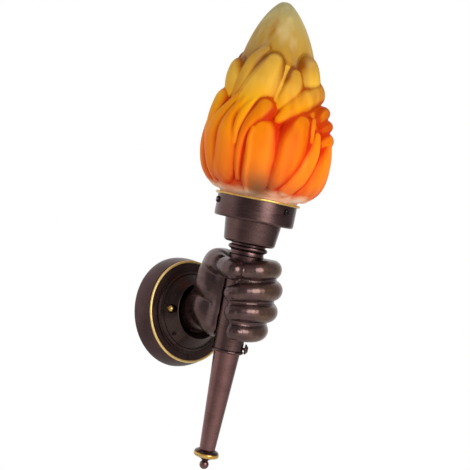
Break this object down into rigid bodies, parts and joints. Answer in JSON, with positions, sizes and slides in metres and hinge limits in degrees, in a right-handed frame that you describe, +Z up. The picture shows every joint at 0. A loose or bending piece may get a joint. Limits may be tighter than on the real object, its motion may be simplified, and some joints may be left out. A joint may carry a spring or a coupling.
{
  "type": "torch sconce",
  "caption": "Wall light: a cast left fist on a round canopy grips a leaning torch with a painted flame-shaped glass over a screw-base bulb.",
  "frame": {"origin": "on the wall plane, at the middle of the crossbar, between its two wall slots", "axes": "+Z up, +Y into the wall, -Y out into the room, +X to the right for somebody who faces the wall"},
  "size_m": [0.1361, 0.1975, 0.4887],
  "materials": {
    "cast_bronze": "cast light alloy with a satin dark bronze finish, rubbed to gold-brown on its high places",
    "dark_bronze": "spun and turned metal, satin dark bronze, finely brushed round its axis",
    "gilt": "polished gilt brass",
    "plain_brass": "bare brass, satin",
    "zinc_steel": "zinc plated steel",
    "blackened_steel": "darkened steel with a bright rim",
    "bulb_aluminium": "rolled aluminium, bright satin",
    "solder": "dull tinned contact",
    "block_plastic": "off-white moulded plastic",
    "brown_insulation": "brown PVC insulation",
    "blue_insulation": "blue PVC insulation",
    "green_insulation": "green and yellow PVC insulation",
    "holder_plastic": "cream moulded thermoset",
    "porcelain": "white glazed porcelain",
    "gasket_fibre": "brown heat resisting gasket",
    "frosted_bulb": "frosted bulb glass",
    "black_glass": "black vitrified insulator",
    "stem_glass": "clear glass",
    "tungsten": "drawn wire",
    "flame_glass": "blown and pressed frosted glass, painted from cream and red-orange to amber and pale yellow"
  },
  "bodies": {
    "root": {"wall_crossbar": "zinc_steel", "mounting_studs": "zinc_steel", "stud_lock_nuts": "zinc_steel", "dome_nuts": "plain_brass", "earth_screw": "plain_brass", "earth_tag": "plain_brass", "canopy_drum": "dark_bronze", "canopy_ring": "gilt", "canopy_boss": "dark_bronze", "boss_screw": "dark_bronze", "wrist_nipple": "zinc_steel", "wrist_nut": "plain_brass", "wrist_washer": "zinc_steel", "terminal_block": "block_plastic", "terminal_screws": "zinc_steel", "live_wire": "brown_insulation", "neutral_wire": "blue_insulation", "earth_wire": "green_insulation", "hand_casting": "cast_bronze", "grip_tube": "dark_bronze", "shaft_collar": "dark_bronze", "taper_shaft": "dark_bronze", "finial_dish": "dark_bronze", "finial_band": "gilt", "finial_stud": "zinc_steel", "finial_ball": "dark_bronze", "neck_ring": "dark_bronze", "neck_nipple": "zinc_steel", "neck_nut_lower": "plain_brass", "neck_nut_upper": "plain_brass", "lamp_cup": "dark_bronze", "gallery": "dark_bronze", "gallery_rim": "gilt", "shade_gasket": "gasket_fibre", "holder_cap": "holder_plastic", "holder_body": "holder_plastic", "holder_ring": "holder_plastic", "holder_insert": "porcelain", "screw_shell": "plain_brass", "centre_contact": "plain_brass"},
    "shade": {"shade_glass": "flame_glass"},
    "bulb": {"bulb_glass": "frosted_bulb", "bulb_cap": "bulb_aluminium", "bulb_insulator": "black_glass", "bulb_contact": "solder", "bulb_stem": "stem_glass", "bulb_filament": "tungsten"},
    "collar_thumb_screw": {"collar_screw": "dark_bronze"},
    "glass_screw_1": {"shade_screw_1": "blackened_steel"},
    "glass_screw_2": {"shade_screw_2": "blackened_steel"},
    "glass_screw_3": {"shade_screw_3": "blackened_steel"}
  },
  "joints": [
    {"name": "shade_lift", "type": "slide", "parent": "root", "child": "shade", "axis": [0, -0.2156, 0.9765], "range_m": [0, 0.125]},
    {"name": "bulb_unscrew", "type": "hinge", "parent": "root", "child": "bulb", "pos_m": [0, -0.11938, 0.11132], "axis": [0, -0.2156, 0.9765], "range_deg": [0, 1980]},
    {"name": "collar_screw_travel", "type": "slide", "parent": "root", "child": "collar_thumb_screw", "axis": [0.7771, -0.6145, -0.1357], "range_m": [0, 0.003]},
    {"name": "glass_screw_1_travel", "type": "slide", "parent": "root", "child": "glass_screw_1", "axis": [0.1045, -0.9711, -0.2144], "range_m": [0, 0.002]},
    {"name": "glass_screw_2_travel", "type": "slide", "parent": "root", "child": "glass_screw_2", "axis": [0.809, 0.574, 0.1267], "range_m": [0, 0.002]},
    {"name": "glass_screw_3_travel", "type": "slide", "parent": "root", "child": "glass_screw_3", "axis": [-0.9135, 0.3972, 0.0877], "range_m": [0, 0.002]}
  ]
}
